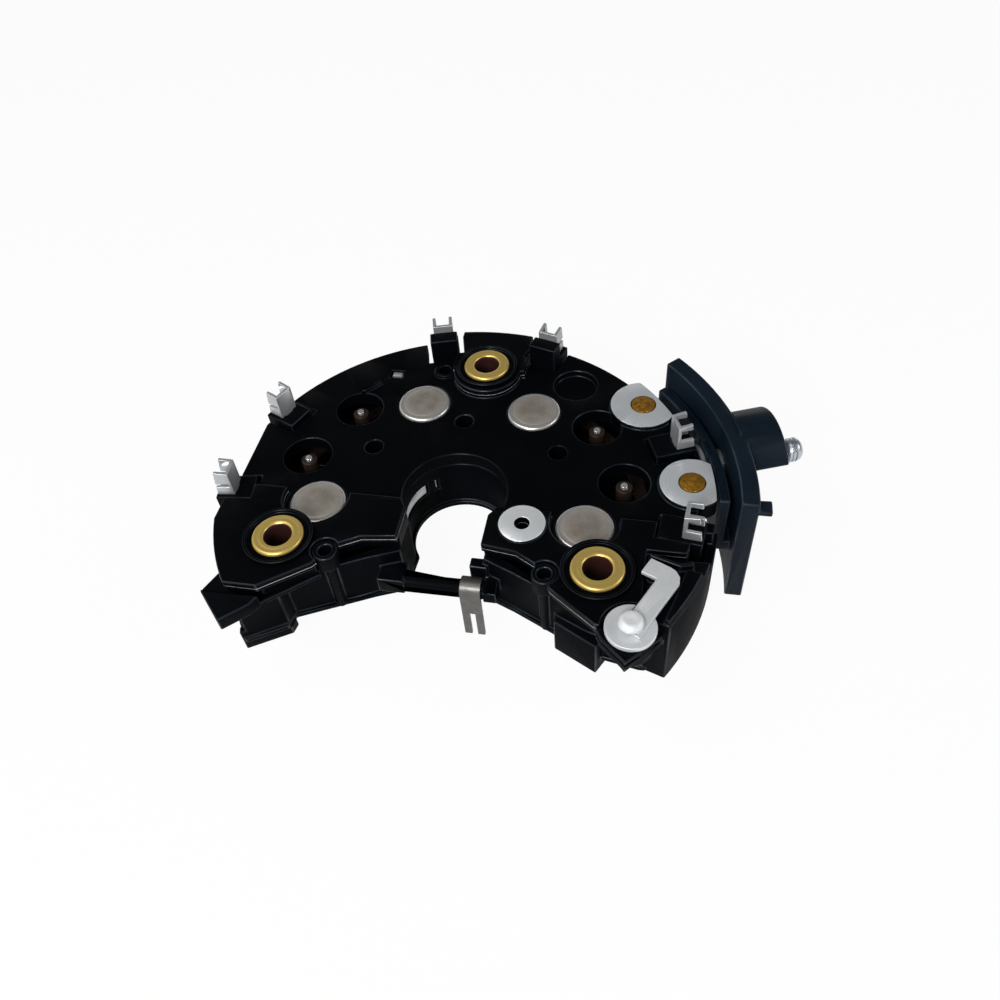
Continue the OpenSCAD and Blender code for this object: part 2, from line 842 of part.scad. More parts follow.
// Closing wall with its inner wall, the web between them and the hood over the stud
module b_plus_shield() {
    out = shield_r + shield_t;
    boss_r0 = lug_out_r + stud_collar_t;
    color("#23282d") difference() {
        union() {
            ring_part(shield_r, out, shield_angles[0], shield_angles[1], -shield_drop, stack_h + shield_drop);
            ring_part(inner_wall_r, inner_wall_r + inner_wall_t, inner_wall_angles[0], inner_wall_angles[1],
                0, inner_wall_top);
            ring_part(inner_wall_r, shield_r + cut, inner_wall_angles[0], inner_wall_angles[1], 0, web_t);
            along_stud(boss_r0) cylinder(h = inner_wall_r + cut - boss_r0, r = stud_collar_r + cut);
            ring_part(out - cut, out + ear_l, shield_angles[0], ear_end, ear_z, ear_t);
            rotate(stud_angle) translate([out - cut, 0, stud_z]) rotate([90, 0, 90])
                linear_extrude(hood_l + cut) intersection() {
                    difference() {
                        circle(r = hood_r);
                        circle(r = hood_r - hood_t);
                    }
                    wedge(hood_angles[0], hood_angles[1]);
                }
        }
        along_stud(0) cylinder(h = far, r = stud_shank_r + gap);
    }
}

// Rivet set in a contact pad
module contact_rivet(i) {
    color("#8a6239") translate([pad_at[i][0], pad_at[i][1], plate_z - contact_head_t]) {
        cylinder(h = pad_top + contact_proud - plate_z + contact_head_t, r = contact_rivet_r);
        cylinder(h = contact_head_t, r = contact_head_r);
    }
}

module contact_rivet_upper() {
    contact_rivet(0);
}

module contact_rivet_lower() {
    contact_rivet(1);
}

module regulator_strap() {
    color("#d9dad6") difference() {
        translate([0, 0, strap_z]) linear_extrude(strap_t) polygon(strap_outline);
        posts([washer_at], strap_shank_r + fit, 0, far);
    }
}

module strap_washer() {
    color("#dfe0dd") difference() {
        posts([washer_at], washer_r, strap_z - washer_t, washer_t);
        posts([washer_at], strap_shank_r + fit, 0, far);
    }
}

module strap_rivet() {
    shank_z = plate_z - end_lap;
    color("#d5d6d3") {
        posts([washer_at], strap_head_r, strap_z + strap_t, strap_head_h);
        posts([washer_at], strap_shank_r, shank_z, strap_z + strap_t - shank_z);
    }
}

// Strip folded over the cross bar, with a slot that makes two tines
module fork_terminal() {
    r = bar_w / 2;
    crown = bar_z + r;
    color("#c2bfb8") difference() {
        translate([fork_x, bar_y, 0]) rotate([90, 0, 90]) linear_extrude(fork_w) {
            intersection() {
                translate([0, crown]) difference() {
                    circle(r = r + fork_t);
                    circle(r = r);
                }
                translate([-far / 2, crown]) square(far);
            }
            translate([-r - fork_t, fork_low]) square([fork_t, crown - fork_low]);
            translate([r, bar_z]) square([fork_t, r]);
        }
        translate([fork_x + (fork_w - fork_slot_w) / 2, -far, fork_low - cut])
            cube([fork_slot_w, 2 * far, fork_slot_l + cut]);
    }
}

positive_heat_sink();
wiring_plate();
negative_heat_sink();
hollow_rivet_top();
hollow_rivet_left();
hollow_rivet_right();
rivet_bush_top();
rivet_bush_left();
rivet_bush_right();
positive_diode_1();
positive_diode_2();
positive_diode_3();
positive_diode_4();
negative_diode_1();
negative_diode_2();
negative_diode_3();
negative_diode_4();
phase_conductor_left();
phase_conductor_top();
phase_conductor_right();
star_conductor();
stator_clip_1();
stator_clip_2();
stator_clip_3();
stator_clip_4();
stator_clip_5();
stator_clip_6();
b_plus_stud();
b_plus_shield();
contact_rivet_upper();
contact_rivet_lower();
regulator_strap();
strap_washer();
strap_rivet();
fork_terminal();
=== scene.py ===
"""Looks of a crescent alternator rectifier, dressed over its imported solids.

Lengths are in millimetres until a mesh is made, and the scene is in metres.
"""

from __future__ import annotations

import logging
import math
from dataclasses import dataclass
from enum import Enum
from typing import Any, Iterable, Sequence

import bmesh
import bpy
from mathutils import Matrix, Vector
from mathutils.bvhtree import BVHTree


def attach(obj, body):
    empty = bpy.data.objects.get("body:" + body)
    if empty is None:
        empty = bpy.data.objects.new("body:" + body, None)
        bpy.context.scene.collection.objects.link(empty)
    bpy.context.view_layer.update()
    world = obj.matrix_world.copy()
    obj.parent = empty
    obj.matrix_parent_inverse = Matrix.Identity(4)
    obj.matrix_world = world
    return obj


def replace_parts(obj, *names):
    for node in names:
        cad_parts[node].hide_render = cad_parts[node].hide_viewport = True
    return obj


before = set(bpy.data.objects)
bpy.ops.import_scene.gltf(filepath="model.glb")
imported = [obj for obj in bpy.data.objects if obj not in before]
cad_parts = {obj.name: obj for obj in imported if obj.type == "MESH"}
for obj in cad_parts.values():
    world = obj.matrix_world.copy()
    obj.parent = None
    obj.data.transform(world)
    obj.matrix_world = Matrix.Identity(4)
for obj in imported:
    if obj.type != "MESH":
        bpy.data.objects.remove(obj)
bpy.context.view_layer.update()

LOG = logging.getLogger("rectifier")
MM = 0.001
BODY = "root"

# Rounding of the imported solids
SHARP = math.radians(32)  # edges that turn more than this are rounded
SMOOTH = math.radians(38)  # edges that turn more than this are shaded sharp
SPECK = 0.08  # millimetres: shorter edges are taken out before the rounding
MERGE = 1e-6  # metres: points closer than this are one point
SLIVER = 2e-7  # metres: thinner faces are taken out after the rounding
STRAY_SHARE = 0.5  # of the rounding's width: points further off the solid go back to it
ROUND_SEGMENTS = 2

# Steps of turned and wound shapes
FULL_STEPS = 96
SMALL_STEPS = 64
THREAD_STEPS = 32
THREAD_SIDES = 4

# Painted sheen on rounded edges, where the coat is also glossier, which comes and goes in patches
EDGE_MARK = "rubbed_edge"
SHEEN_PATCH = 13.0  # millimetres
SHEEN_FROM = 0.4
SHEEN_GAIN = 4.5
SHEEN_RANGE = (0.25, 1.0)
EDGE_COAT = 0.5
EDGE_COAT_ROUGH = 0.22
EDGE_GLOSS = 0.15
DUST_GAIN = 6.0

# Noise: its octaves, and the value it lies about
CLOUD_DETAIL = 4.0
MARK_DETAIL = 3.0
FINE_DETAIL = 2.0
NOISE_MEAN = 0.5

RGB = tuple[float, float, float]
Point = tuple[float, float, float]
Pair = tuple[float, float]
Profile = tuple[Pair, ...]


class Side(Enum):
    """Places of the three mounting rivets, by their angle on the rivet circle."""

    TOP = 90
    LEFT = 210
    RIGHT = 330


class Sock:
    """A socket in a material's tree. Arithmetic on it adds Math nodes."""

    def __init__(self, tree: NodeBuild, socket: bpy.types.NodeSocket) -> None:
        """Keeps the tree and the socket."""
        self.tree = tree
        self.socket = socket

    def _math(self, operation: str, *values: Sock | float) -> Sock:
        """Adds one Math node.

        Args:
            operation: The node's operation.
            values: Its inputs in order.

        Returns:
            The result's socket.
        """
        return self.tree.node("ShaderNodeMath", {"operation": operation}, dict(enumerate(values)))

    def __add__(self, other: Sock | float) -> Sock:
        """Sum."""
        return self._math("ADD", self, other)

    def __sub__(self, other: Sock | float) -> Sock:
        """Difference."""
        return self._math("SUBTRACT", self, other)

    def __rsub__(self, other: Sock | float) -> Sock:
        """Difference the other way round."""
        return self._math("SUBTRACT", other, self)

    def __mul__(self, other: Sock | float) -> Sock:
        """Product."""
        return self._math("MULTIPLY", self, other)

    def __gt__(self, other: float) -> Sock:
        """One where this is more than the other."""
        return self._math("GREATER_THAN", self, other)

    def __lt__(self, other: float) -> Sock:
        """One where this is less than the other."""
        return self._math("LESS_THAN", self, other)

    __radd__ = __add__
    __rmul__ = __mul__

    def power(self, exponent: float) -> Sock:
        """This to a power."""
        return self._math("POWER", self, exponent)

    def clamped(self) -> Sock:
        """This, held between nought and one."""
        return self.larger(0.0).smaller(1.0)

    def larger(self, other: Sock | float) -> Sock:
        """The larger of two values."""
        return self._math("MAXIMUM", self, other)

    def smaller(self, other: Sock | float) -> Sock:
        """The smaller of two values."""
        return self._math("MINIMUM", self, other)

    def span(self, low: float, high: float) -> Sock:
        """This value from nought to one, mapped to run from low to high."""
        return self * (high - low) + low


class NodeBuild:
    """Builds one material's node tree."""

    def __init__(self, name: str) -> None:
        """Makes the material with its shader and output.

        Args:
            name: The material's name.
        """
        self.material = bpy.data.materials.new(name)
        self.material.use_nodes = True
        self.nodes = self.material.node_tree.nodes
        self.links = self.material.node_tree.links
        self.nodes.clear()
        self.shader = self.nodes.new("ShaderNodeBsdfPrincipled")
        self.output = self.nodes.new("ShaderNodeOutputMaterial")
        self.links.new(self.shader.outputs[0], self.output.inputs[0])

    @classmethod
    def over(cls, tree: bpy.types.NodeTree) -> NodeBuild:
        """Works on a tree that is there already, such as the world's.

        Args:
            tree: The node tree.

        Returns:
            A builder for it.
        """
        build = cls.__new__(cls)
        build.nodes = tree.nodes
        build.links = tree.links
        return build

    def cover(self, shader: Sock, factor: Sock) -> None:
        """Mixes another shader over the material's own.

        Args:
            shader: The other shader.
            factor: Its share.
        """
        own = Sock(self, self.shader.outputs[0])
        mixed = self.node("ShaderNodeMixShader", {}, {0: factor, 1: own, 2: shader})
        self.links.new(mixed.socket, self.output.inputs[0])

    @staticmethod
    def pick(sockets: Any, key: int | str) -> bpy.types.NodeSocket:
        """Finds a socket by its index, its identifier or its name.

        Args:
            sockets: The inputs or outputs of a node.
            key: Index, identifier or name.

        Returns:
            The socket.
        """
        if isinstance(key, int):
            return sockets[key]
        for socket in sockets:
            if socket.identifier == key:
                return socket
        return sockets[key]

    def node(
        self, kind: str, settings: dict[str, Any], inputs: dict[int | str, Any], out: int | str = 0
    ) -> Sock:
        """Adds a node.

        Args:
            kind: The node's type.
            settings: Its attributes, which are set first.
            inputs: Values or links by socket.
            out: The output to return.

        Returns:
            That output.
        """
        made = self.nodes.new(kind)
        for key, value in settings.items():
            setattr(made, key, value)
        for key, value in inputs.items():
            self.feed(self.pick(made.inputs, key), value)
        return Sock(self, self.pick(made.outputs, out))

    def feed(self, socket: bpy.types.NodeSocket, value: Any) -> None:
        """Links or sets one input.

        Args:
            socket: The input.
            value: A socket to link, a number, or a colour of three values.
        """
        if isinstance(value, Sock):
            self.links.new(value.socket, socket)
        else:
            socket.default_value = (*value, 1.0) if socket.type == "RGBA" else value

    def place(self) -> Sock:
        """The point on the piece, in the object's own frame."""
        return self.node("ShaderNodeTexCoord", {}, {}, "Object")

    def axes(self) -> list[Sock]:
        """The point's three coordinates, in millimetres."""
        at = self.place()
        return [self.node("ShaderNodeSeparateXYZ", {}, {0: at}, i) * (1.0 / MM) for i in range(3)]

    def reach(self, centres: Sequence[Pair]) -> Sock:
        """Distance from the nearest of some upright axes.

        Args:
            centres: Where the axes stand, in millimetres.

        Returns:
            The distance in millimetres.
        """
        x, y, _ = self.axes()
        spans = [((x - cx).power(2.0) + (y - cy).power(2.0)).power(0.5) for cx, cy in centres]
        nearest = spans[0]
        for span in spans[1:]:
            nearest = nearest.smaller(span)
        return nearest

    def edge_sheen(self) -> Sock:
        """Mask of the painted sheen and the gloss coat on a piece's rounded edges, in patches.

        Returns:
            Nought on the faces, up to one on the edges.
        """
        edge = self.node("ShaderNodeAttribute", {"attribute_name": EDGE_MARK}, {}, "Fac")
        patch = ((self.noise(SHEEN_PATCH, MARK_DETAIL) - SHEEN_FROM) * SHEEN_GAIN).clamped()
        return edge * patch.span(*SHEEN_RANGE)

    def grooves(self, radius: Sock, pitch: float) -> Sock:
        """Turning marks round an axis.

        Args:
            radius: Distance from the axis in millimetres.
            pitch: Rough width of one mark in millimetres.

        Returns:
            A value about one half.
        """
        inputs = {"W": radius, "Scale": 1.0 / pitch, "Detail": MARK_DETAIL}
        return self.node("ShaderNodeTexNoise", {"noise_dimensions": "1D"}, inputs, "Fac")

    def noise(self, size: float, detail: float = FINE_DETAIL) -> Sock:
        """Noise over the surface.

        Args:
            size: Size of one blot in millimetres.
            detail: Octaves.

        Returns:
            A value about one half.
        """
        inputs = {"Vector": self.place(), "Scale": 1.0 / (size * MM), "Detail": detail}
        return self.node("ShaderNodeTexNoise", {}, inputs, "Fac")

    def mix(self, first: Any, second: Any, factor: Any) -> Sock:
        """Colour between two colours."""
        inputs = {"Factor_Float": factor, "A_Color": first, "B_Color": second}
        return self.node("ShaderNodeMix", {"data_type": "RGBA"}, inputs, "Result_Color")

    def bump(self, height: Sock, depth: float) -> Sock:
        """Normal from a height, of which one stands for a depth in millimetres."""
        return self.node("ShaderNodeBump", {}, {"Height": height, "Distance": depth * MM}, "Normal")

    def finish(self, **sockets: Any) -> bpy.types.Material:
        """Feeds the shader and returns the material.

        Args:
            sockets: Values by the shader's socket name, with _ for a space.

        Returns:
            The material.
        """
        for key, value in sockets.items():
            self.feed(self.shader.inputs[key.replace("_", " ")], value)
        return self.material


@dataclass(frozen=True)
class BlackMoulding:
    """Black glass-filled plastic with a fine grain, and a painted sheen on its rounded edges, which are
    smoother and glossier.
    """

    name: str
    dark: RGB
    pale: RGB
    # Colour of the painted sheen on rounded edges
    edge: RGB = (0.012, 0.02, 0.03)
    rough: Pair = (0.42, 0.58)
    ior: float = 1.1
    blot: float = 9.0
    blot_share: float = 0.5
    grain: float = 0.35
    grain_depth: float = 0.035
    dust_from: float = 0.62
    dust: float = 0.35

    def material(self) -> bpy.types.Material:
        """Builds the material.

        Returns:
            The material.
        """
        tree = NodeBuild(self.name)
        cloud = tree.noise(self.blot, CLOUD_DETAIL)
        speck = tree.noise(self.grain)
        dust = ((speck - self.dust_from) * DUST_GAIN).clamped() * self.dust
        edge_sheen = tree.edge_sheen()
        colour = tree.mix(self.dark, self.pale, (cloud * self.blot_share + dust).clamped())
        return tree.finish(
            # The painted sheen is mixed in on the rounded edges, where the coat is also glossier
            Base_Color=tree.mix(colour, self.edge, edge_sheen * cloud),
            Roughness=cloud.span(*self.rough) - edge_sheen * EDGE_GLOSS,
            IOR=self.ior,
            Coat_Weight=edge_sheen * EDGE_COAT,
            Coat_Roughness=EDGE_COAT_ROUGH,
            Normal=tree.bump(speck * (1.0 - edge_sheen), self.grain_depth),
        )


@dataclass(frozen=True)
class BlackCasting:
    """Black coat on cast metal, cut away on the machined pads and the turned boss, with a painted sheen on
    its rounded edges and the boss painted brighter as a highlight.
    """

    name: str = "black_coat_on_casting"
    dark: RGB = (0.0006, 0.0008, 0.0012)
    pale: RGB = (0.003, 0.0038, 0.0052)
    # Colour of the painted sheen on rounded edges
    edge: RGB = (0.012, 0.02, 0.03)
    silver: RGB = (0.78, 0.81, 0.83)
    shade: RGB = (0.6, 0.63, 0.65)
    # Colour of the boss's painted highlight, which makes it brighter than the pads
    boss_highlight: RGB = (0.92, 0.95, 0.97)
    boss_highlight_share: float = 0.7
    coat_rough: Pair = (0.4, 0.56)
    bare_rough: Pair = (0.26, 0.41)
    bare_metallic: float = 0.6
    ior: float = 1.1
    blot: float = 11.0
    blot_share: float = 0.45
    grain: float = 0.4
    dust_from: float = 0.6
    dust: float = 0.3
    groove: float = 0.4
    groove_share: float = 0.6
    relief: float = 0.05
    pad_z: Pair = (18.95, 19.05)
    boss_z: float = 20.72
    turned: Profile = ((39.9, 32.5), (52.6, 8.3), (17.2, -9.4))

    def material(self) -> bpy.types.Material:
        """Builds the material.

        Returns:
            The material.
        """
        tree = NodeBuild(self.name)
        _, _, z = tree.axes()
        boss = z > self.boss_z
        bare = ((z > self.pad_z[0]) * (z < self.pad_z[1])).larger(boss)
        coated = 1.0 - bare
        rings = tree.grooves(tree.reach(self.turned), self.groove)
        cloud = tree.noise(self.blot, CLOUD_DETAIL)
        speck = tree.noise(self.grain)
        edge_sheen = tree.edge_sheen() * coated
        dust = ((speck - self.dust_from) * DUST_GAIN).clamped() * self.dust
        coat = tree.mix(self.dark, self.pale, (cloud * self.blot_share + dust).clamped())
        turning = (rings * self.groove_share + cloud * (1.0 - self.groove_share)).clamped()
        metal = tree.mix(self.shade, self.silver, turning)
        # The boss is painted brighter: a painted highlight of its turned face
        metal = tree.mix(metal, self.boss_highlight, boss * self.boss_highlight_share)
        coat_rough = cloud.span(*self.coat_rough) - edge_sheen * EDGE_GLOSS
        return tree.finish(
            # Painted sheen on the coated rounded edges, bare metal on the pads and the boss
            Base_Color=tree.mix(tree.mix(coat, self.edge, edge_sheen * cloud), metal, bare),
            Roughness=coat_rough * coated + rings.span(*self.bare_rough) * bare,
            Metallic=bare * self.bare_metallic,
            IOR=self.ior,
            Coat_Weight=edge_sheen * EDGE_COAT,
            Coat_Roughness=EDGE_COAT_ROUGH,
            Normal=tree.bump(speck * coated * (1.0 - edge_sheen) + rings * bare, self.relief),
        )


@dataclass(frozen=True)
class Metal:
    """Bare or plated metal with cloudy tarnish and fine marks."""

    name: str
    bright: RGB
    dull: RGB
    rough: Pair = (0.25, 0.45)
    metallic: float = 0.9
    blot: float = 5.0
    mark: float = 0.5
    depth: float = 0.02
    contrast: float = 1.8
    blot_share: float = 0.6

    def material(self) -> bpy.types.Material:
        """Builds the material.

        Returns:
            The material.
        """
        tree = NodeBuild(self.name)
        mark = tree.noise(self.mark, MARK_DETAIL)
        tone = self.tone(tree, mark)
        return tree.finish(
            Base_Color=tree.mix(self.bright, self.dull, tone),
            Roughness=tone.span(*self.rough),
            Metallic=self.metallic,
            Normal=tree.bump(mark, self.depth),
        )

    def tone(self, tree: NodeBuild, mark: Sock) -> Sock:
        """How far the tarnish goes at each point.

        Args:
            tree: The material's tree.
            mark: Its fine marks.

        Returns:
            Nought where it is bright, one where it is dull.
        """
        cloud = tree.noise(self.blot, CLOUD_DETAIL)
        both = cloud * self.blot_share + mark * (1.0 - self.blot_share)
        return ((both - NOISE_MEAN) * self.contrast + NOISE_MEAN).clamped()


@dataclass(frozen=True)
class DiodeCase(Metal):
    """Nickel-plated diode base: brown and dull on the face, with a painted highlight and more gloss round
    its outer edge.
    """

    centres: Profile = ()
    stain: RGB = (0.17, 0.143, 0.115)
    stain_share: float = 0.8
    stain_fade: float = 0.6
    face_r: float = 4.6
    # Colour of the painted highlight round the diode's outer edge
    rim_highlight: RGB = (0.82, 0.81, 0.79)
    rim_r: float = 5.45
    rim_highlight_share: float = 0.8
    rim_gloss: float = 0.12
    rim_metallic: float = 0.35

    def material(self) -> bpy.types.Material:
        """Builds the material.

        Returns:
            The material.
        """
        tree = NodeBuild(self.name)
        mark = tree.noise(self.mark, MARK_DETAIL)
        tone = self.tone(tree, mark)
        radius = tree.reach(self.centres)
        worn = ((self.face_r - radius) * self.stain_fade).clamped() * tone
        rim_highlight = radius > self.rim_r
        plate = tree.mix(tree.mix(self.bright, self.dull, tone), self.stain, worn * self.stain_share)
        return tree.finish(
            # Painted highlight round the outer edge, which is also glossier and more metallic
            Base_Color=tree.mix(plate, self.rim_highlight, rim_highlight * self.rim_highlight_share),
            Roughness=tone.span(*self.rough) - rim_highlight * self.rim_gloss,
            Metallic=rim_highlight * self.rim_metallic + self.metallic,
            Normal=tree.bump(mark, self.depth),
        )


@dataclass(frozen=True)
class SolderedWire(Metal):
    """Stained diode head, darkened further as painted shade of its well, bright with solder at the top of
    its wire.
    """

    solder: RGB = (0.7, 0.71, 0.72)
    solder_z: float = 11.4
    solder_creep: float = 0.6
    solder_gloss: float = 0.15

    def material(self) -> bpy.types.Material:
        """Builds the material.

        Returns:
            The material.
        """
        tree = NodeBuild(self.name)
        _, _, z = tree.axes()
        mark = tree.noise(self.mark, MARK_DETAIL)
        tone = self.tone(tree, mark)
        wet = (z - self.solder_z + mark * self.solder_creep).clamped()
        return tree.finish(
            Base_Color=tree.mix(tree.mix(self.bright, self.dull, tone), self.solder, wet),
            Roughness=tone.span(*self.rough) - wet * self.solder_gloss,
            Metallic=self.metallic,
            Normal=tree.bump(mark, self.depth),
        )


@dataclass(frozen=True)
class Brass:
    """Spun brass: bright flange, and its hollow painted dark and red as painted shade."""

    name: str = "spun_brass"
    bright: RGB = (0.82, 0.61, 0.19)
    dull: RGB = (0.6, 0.42, 0.1)
    # Painted shade inside the hollow rivet
    bore_shade_colour: RGB = (0.03, 0.004, 0.002)
    bore_r: float = 3.15
    bore_rough: float = 0.3
    bore_dull: float = 0.4
    rough: Pair = (0.26, 0.42)
    metallic: float = 0.7
    blot: float = 2.2
    mark: float = 0.3
    groove: float = 0.25
    shares: tuple[float, float, float] = (0.6, 0.2, 0.2)
    depth: float = 0.005

    def material(self, centres: Sequence[Pair]) -> bpy.types.Material:
        """Builds the material.

        Args:
            centres: Axes of the rivets.

        Returns:
            The material.
        """
        tree = NodeBuild(self.name)
        radius = tree.reach(centres)
        shaded_bore = radius < self.bore_r
        cloud = tree.noise(self.blot, CLOUD_DETAIL)
        mark = tree.noise(self.mark)
        rings = tree.grooves(radius, self.groove)
        in_blots, in_marks, in_rings = self.shares
        tone = (cloud * in_blots + mark * in_marks + rings * in_rings).clamped()
        skin = tree.mix(self.bright, self.dull, tone)
        return tree.finish(
            # The hollow is painted with shade, and is rougher and less metallic
            Base_Color=tree.mix(skin, self.bore_shade_colour, shaded_bore),
            Roughness=cloud.span(*self.rough) + shaded_bore * self.bore_rough,
            Metallic=self.metallic - shaded_bore * self.bore_dull,
            Normal=tree.bump(mark + rings, self.depth),
        )


def new_piece(
    name: str, mesh: bpy.types.Mesh, material: bpy.types.Material
) -> bpy.types.Object:
    """Makes an object that rides on the part.

    Args:
        name: The piece's name.
        mesh: Its mesh, in place.
        material: Its finish.

    Returns:
        The object.
    """
    piece = bpy.data.objects.new(name, mesh)
    bpy.context.scene.collection.objects.link(piece)
    mesh.materials.clear()
    mesh.materials.append(material)
    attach(piece, BODY)
    LOG.info("%s: %d faces", name, len(mesh.polygons))
    return piece


def smooth(mesh: bpy.types.Mesh) -> None:
    """Shades a mesh smooth, apart from its sharp edges."""
    mesh.polygons.foreach_set("use_smooth", [True] * len(mesh.polygons))
    mesh.set_sharp_from_angle(angle=SMOOTH)


def plain_mesh(name: str, shape: bmesh.types.BMesh) -> bpy.types.Mesh:
    """Turns a finished shape into a smooth-shaded mesh.

    Args:
        name: The mesh's name.
        shape: The shape, which is freed.

    Returns:
        The mesh.
    """
    mesh = bpy.data.meshes.new(name)
    shape.to_mesh(mesh)
    shape.free()
    smooth(mesh)
    return mesh


def lathe(name: str, profile: Sequence[Pair], steps: int = FULL_STEPS) -> bpy.types.Mesh:
    """Turns a profile about Z.

    Args:
        name: The mesh's name.
        profile: Radius and height, in millimetres, from the axis or round a closed section.
        steps: Number of steps round the axis.

    Returns:
        The mesh, in metres.
    """
    shape = bmesh.new()
    turns = [2 * math.pi * i / steps for i in range(steps)]
    rows = []
    for radius, height in profile:
        angles = turns if radius > 0.0 else turns[:1]
        ring = [(radius * MM * math.cos(a), radius * MM * math.sin(a), height * MM) for a in angles]
        rows.append([shape.verts.new(point) for point in ring])
    for low, high in zip(rows, rows[1:]):
        for i in range(steps):
            j = (i + 1) % steps
            corners = [low[i % len(low)], low[j % len(low)], high[j % len(high)], high[i % len(high)]]
            unique = list(dict.fromkeys(corners))
            if len(unique) > 2:
                shape.faces.new(unique)
    bmesh.ops.recalc_face_normals(shape, faces=shape.faces)
    return plain_mesh(name, shape)


def evaluated_mesh(holder: bpy.types.Object, name: str) -> bpy.types.Mesh:
    """Turns an object's evaluated geometry into a plain mesh, and takes off its modifiers and the object.

    Args:
        holder: The object, which is used up.
        name: The new mesh's name.

    Returns:
        The mesh.
    """
    graph = bpy.context.evaluated_depsgraph_get()
    made = bpy.data.meshes.new_from_object(holder.evaluated_get(graph))
    made.name = name
    holder.modifiers.clear()
    bpy.data.objects.remove(holder)
    return made


def rounded_mesh(node: str, width: float) -> bpy.types.Mesh:
    """Copies a node's mesh with its sharp edges rounded and marked.

    Args:
        node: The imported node.
        width: Width of the rounding in millimetres.

    Returns:
        The new mesh.
    """
    shape = bmesh.new()
    shape.from_mesh(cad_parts[node].data)
    bmesh.ops.remove_doubles(shape, verts=shape.verts, dist=MERGE)
    bmesh.ops.dissolve_degenerate(shape, dist=SPECK * MM, edges=shape.edges)
    weight = shape.edges.layers.float.new("bevel_weight_edge")
    for edge in shape.edges:
        edge[weight] = float(len(edge.link_faces) == 2 and edge.calc_face_angle(0.0) > SHARP)
    solid = BVHTree.FromBMesh(shape)
    mesh = plain_mesh(f"{node}_blank", shape)
    mesh.materials.clear()
    for _ in range(2):
        mesh.materials.append(None)
    holder = bpy.data.objects.new(f"{node}_holder", mesh)
    bpy.context.scene.collection.objects.link(holder)
    rounding = holder.modifiers.new("rounding", "BEVEL")
    rounding.limit_method = "WEIGHT"
    rounding.width = width * MM
    rounding.segments = ROUND_SEGMENTS
    rounding.use_clamp_overlap = False
    rounding.loop_slide = False
    rounding.harden_normals = True
    rounding.material = 1
    made = evaluated_mesh(holder, f"{node}_rounded")
    for vert in made.vertices:
        spot, _, _, gap = solid.find_nearest(vert.co)
        if gap > STRAY_SHARE * width * MM:
            vert.co = spot
    shape = bmesh.new()
    shape.from_mesh(made)
    bmesh.ops.dissolve_degenerate(shape, dist=SLIVER, edges=shape.edges)
    shape.to_mesh(made)
    shape.free()
    # Marks the rounding's faces, which carry the painted sheen and the gloss coat
    mark = made.attributes.new(EDGE_MARK, "FLOAT", "FACE")
    mark.data.foreach_set("value", [float(face.material_index) for face in made.polygons])
    made.polygons.foreach_set("material_index", [0] * len(made.polygons))
    return made


class Repeat:
    """Geometry Nodes that set one pattern on every seat of a list."""

    def __init__(self) -> None:
        """Builds the tree with its named inputs."""
        self.tree = bpy.data.node_groups.new("pattern_on_seats", "GeometryNodeTree")
        face = self.tree.interface
        face.new_socket("Seats", in_out="INPUT", socket_type="NodeSocketGeometry")
        pattern = face.new_socket("Pattern", in_out="INPUT", socket_type="NodeSocketObject")
        finish = face.new_socket("Finish", in_out="INPUT", socket_type="NodeSocketMaterial")
        self.pattern, self.finish = pattern.identifier, finish.identifier
        face.new_socket("Pieces", in_out="OUTPUT", socket_type="NodeSocketGeometry")
        nodes, links = self.tree.nodes, self.tree.links
        entry, leave = nodes.new("NodeGroupInput"), nodes.new("NodeGroupOutput")
        source, spread = nodes.new("GeometryNodeObjectInfo"), nodes.new("GeometryNodeInstanceOnPoints")
        solid, paint = nodes.new("GeometryNodeRealizeInstances"), nodes.new("GeometryNodeSetMaterial")
        links.new(entry.outputs["Pattern"], source.inputs["Object"])
        links.new(entry.outputs["Seats"], spread.inputs["Points"])
        links.new(source.outputs["Geometry"], spread.inputs["Instance"])
        links.new(spread.outputs["Instances"], solid.inputs["Geometry"])
        links.new(solid.outputs["Geometry"], paint.inputs["Geometry"])
        links.new(entry.outputs["Finish"], paint.inputs["Material"])
        links.new(paint.outputs["Geometry"], leave.inputs["Pieces"])

    def mesh(
        self, name: str, pattern: bpy.types.Mesh, seats: Iterable[Point], material: bpy.types.Material
    ) -> bpy.types.Mesh:
        """Sets the pattern on the seats.

        Args:
            name: Name of the mesh.
            pattern: The pattern's mesh, about the origin.
            seats: Places in millimetres.
            material: The finish.

        Returns:
            One plain mesh.
        """
        points = bpy.data.meshes.new(f"{name}_seats")
        points.from_pydata([tuple(c * MM for c in seat) for seat in seats], [], [])
        holder = bpy.data.objects.new(f"{name}_holder", points)
        sample = bpy.data.objects.new(f"{name}_pattern", pattern)
        for thing in (holder, sample):
            bpy.context.scene.collection.objects.link(thing)
        modifier = holder.modifiers.new("seats", "NODES")
        modifier.node_group = self.tree
        modifier[self.pattern] = sample
        modifier[self.finish] = material
        made = evaluated_mesh(holder, name)
        bpy.data.objects.remove(sample)
        smooth(made)
        return made


